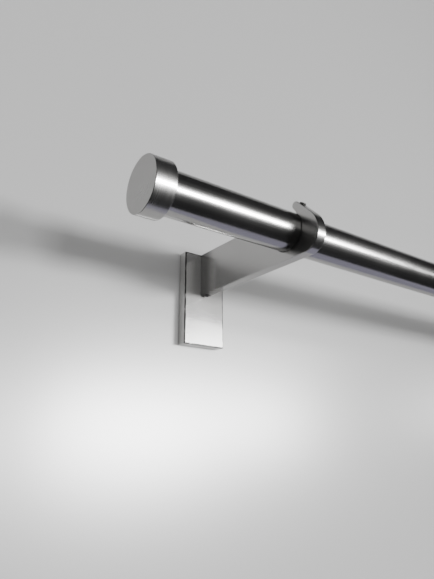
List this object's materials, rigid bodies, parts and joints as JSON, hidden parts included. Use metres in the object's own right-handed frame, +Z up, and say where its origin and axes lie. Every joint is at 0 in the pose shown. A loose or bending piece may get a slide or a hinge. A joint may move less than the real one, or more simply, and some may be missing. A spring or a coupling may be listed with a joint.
{
  "type": "eyelet curtain rod",
  "caption": "Straight steel curtain pole carried by open hook wall brackets, with a stepped round cap on each end.",
  "frame": {"origin": "middle of the four wall screw holes, on the wall's face, halfway between the two brackets", "axes": "+X along the pole, +Y into the wall, +Z up; the room is on the -Y side"},
  "size_m": [1.2064, 0.151, 0.087],
  "materials": {
    "pole_steel": "satin polished tube",
    "cap_steel": "turned satin",
    "bracket_steel": "satin flat bar",
    "plate_steel": "satin plate",
    "zinc_steel": "zinc plated",
    "zinc_screw": "zinc plated",
    "black_screw": "black oxide"
  },
  "bodies": {
    "rod": {"pole_tube": "pole_steel", "wall_cover_left": "plate_steel", "backing_plate_left": "zinc_steel", "tongue_left": "zinc_steel", "tongue_screw_upper_left": "zinc_screw", "tongue_screw_lower_left": "zinc_screw", "bracket_arm_left": "bracket_steel", "wall_cover_right": "plate_steel", "backing_plate_right": "zinc_steel", "tongue_right": "zinc_steel", "tongue_screw_upper_right": "zinc_screw", "tongue_screw_lower_right": "zinc_screw", "bracket_arm_right": "bracket_steel"},
    "cap_left": {"end_cap_left": "cap_steel"},
    "cap_screw_left": {"cap_screw_left": "black_screw"},
    "pole_screw_left": {"pole_screw_left": "black_screw"},
    "arm_screw_left": {"arm_screw_left": "black_screw"},
    "cap_right": {"end_cap_right": "cap_steel"},
    "cap_screw_right": {"cap_screw_right": "black_screw"},
    "pole_screw_right": {"pole_screw_right": "black_screw"},
    "arm_screw_right": {"arm_screw_right": "black_screw"}
  },
  "joints": [
    {"name": "cap_pull_left", "type": "slide", "parent": "rod", "child": "cap_left", "axis": [-1, 0, 0], "range_m": [0, 0.02]},
    {"name": "cap_screw_travel_left", "type": "slide", "parent": "cap_left", "child": "cap_screw_left", "axis": [0, 1, 0], "range_m": [0, 0.002]},
    {"name": "pole_screw_travel_left", "type": "slide", "parent": "rod", "child": "pole_screw_left", "axis": [0, -0.6018, 0.7986], "range_m": [0, 0.004]},
    {"name": "arm_screw_travel_left", "type": "slide", "parent": "rod", "child": "arm_screw_left", "axis": [0, 0, -1], "range_m": [0, 0.004]},
    {"name": "cap_pull_right", "type": "slide", "parent": "rod", "child": "cap_right", "axis": [1, 0, 0], "range_m": [0, 0.02]},
    {"name": "cap_screw_travel_right", "type": "slide", "parent": "cap_right", "child": "cap_screw_right", "axis": [0, 1, 0], "range_m": [0, 0.002]},
    {"name": "pole_screw_travel_right", "type": "slide", "parent": "rod", "child": "pole_screw_right", "axis": [0, -0.6018, 0.7986], "range_m": [0, 0.004]},
    {"name": "arm_screw_travel_right", "type": "slide", "parent": "rod", "child": "arm_screw_right", "axis": [0, 0, -1], "range_m": [0, 0.004]}
  ]
}
